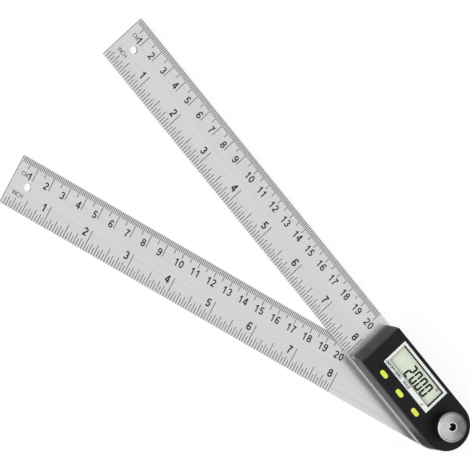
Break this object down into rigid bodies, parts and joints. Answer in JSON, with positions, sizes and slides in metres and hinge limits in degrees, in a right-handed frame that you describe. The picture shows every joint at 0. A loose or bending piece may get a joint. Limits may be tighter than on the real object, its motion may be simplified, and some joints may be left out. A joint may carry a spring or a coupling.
{
  "type": "digital angle finder",
  "caption": "Digital angle finder: two ruled steel arms on one locking pivot, a black housing with display and buttons on the upper arm, and a knurled lock knob.",
  "frame": {"origin": "on the pivot axis, in the plane of the lower arm's back face", "axes": "+Z along the pivot axis, out of the display; the upper arm runs along -X from the pivot; +Y is the side of its centimetre scale"},
  "size_m": [0.2775, 0.1165, 0.024],
  "materials": {
    "blade_steel": "satin brushed stainless steel",
    "stud_steel": "turned stainless steel",
    "white_washer": "slippery white plastic",
    "bronze": "sintered bronze",
    "black_case": "satin moulded black plastic",
    "black_inner": "moulded black plastic",
    "white_frame": "satin white plastic",
    "clear_lens": "clear polished plastic",
    "display_green": "pale grey-green liquid crystal glass",
    "white_carrier": "white plastic",
    "contact_rubber": "pink conductive rubber",
    "board_green": "green laminate",
    "chip_black": "black epoxy",
    "part_ceramic": "tan ceramic",
    "link_black": "black plastic with plated pins",
    "rotor_plate": "gold plated laminate",
    "spring_steel": "bright spring steel",
    "switch_metal": "tinned steel",
    "button_yellow": "lime yellow plastic",
    "plunger_black": "black plastic",
    "cell_steel": "plated steel",
    "contact_brass": "spring bronze",
    "black_grip": "knurled black plastic",
    "knob_metal": "turned aluminium",
    "black_screw": "blackened steel"
  },
  "bodies": {
    "display_arm": {"upper_blade": "blade_steel", "pivot_bush": "bronze", "housing": "black_case", "base_plate": "black_inner", "display_frame": "white_frame", "display_lens": "clear_lens", "display_glass": "display_green", "display_carrier": "white_carrier", "contact_strips": "contact_rubber", "main_board": "board_green", "processor_chip": "chip_black", "board_parts": "part_ceramic", "sensor_board": "board_green", "board_link": "link_black", "switch_cases": "switch_metal", "switch_domes": "spring_steel", "battery": "cell_steel", "battery_minus_contact": "contact_brass", "battery_plus_contact": "contact_brass", "top_bush": "bronze", "case_screws": "black_screw", "board_screws": "spring_steel"},
    "lower_arm": {"lower_blade": "blade_steel", "pivot_stud": "stud_steel", "thrust_washer": "white_washer", "sensor_rotor": "rotor_plate", "rotor_clip": "spring_steel"},
    "knob_washer": {"key_washer": "stud_steel"},
    "lock_knob": {"knob_core": "knob_metal", "knob_grip": "black_grip"},
    "on_off": {"on_off_button": "button_yellow", "on_off_plunger": "plunger_black"},
    "hold": {"hold_button": "button_yellow", "hold_plunger": "plunger_black"},
    "mode": {"mode_button": "button_yellow", "mode_plunger": "plunger_black"},
    "cap": {"battery_cap": "black_case"}
  },
  "joints": [
    {"name": "arm_swing", "type": "hinge", "parent": "display_arm", "child": "lower_arm", "pos_m": [0, 0, 0], "axis": [0, 0, 1], "continuous": true},
    {"name": "knob_lift", "type": "slide", "parent": "lower_arm", "child": "knob_washer", "axis": [0, 0, 1], "range_m": [0, 0.0007]},
    {"name": "knob_turn", "type": "hinge", "parent": "knob_washer", "child": "lock_knob", "pos_m": [0, 0, 0.0206], "axis": [0, 0, 1], "range_deg": [0, 360]},
    {"name": "on_off_press", "type": "slide", "parent": "display_arm", "child": "on_off", "axis": [0, 0, -1], "range_m": [0, 0.00035], "stiffness_N_per_m": 1200, "springref_m": -0.0005},
    {"name": "hold_press", "type": "slide", "parent": "display_arm", "child": "hold", "axis": [0, 0, -1], "range_m": [0, 0.00035], "stiffness_N_per_m": 1200, "springref_m": -0.0005},
    {"name": "mode_press", "type": "slide", "parent": "display_arm", "child": "mode", "axis": [0, 0, -1], "range_m": [0, 0.00035], "stiffness_N_per_m": 1200, "springref_m": -0.0005},
    {"name": "cap_turn", "type": "hinge", "parent": "display_arm", "child": "cap", "pos_m": [-0.036, 0, 0.0018], "axis": [0, 0, -1], "range_deg": [0, 40]}
  ],
  "couplings": [
    {"joint": "knob_turn", "follows": "knob_lift", "rad_per_m": 8976}
  ]
}
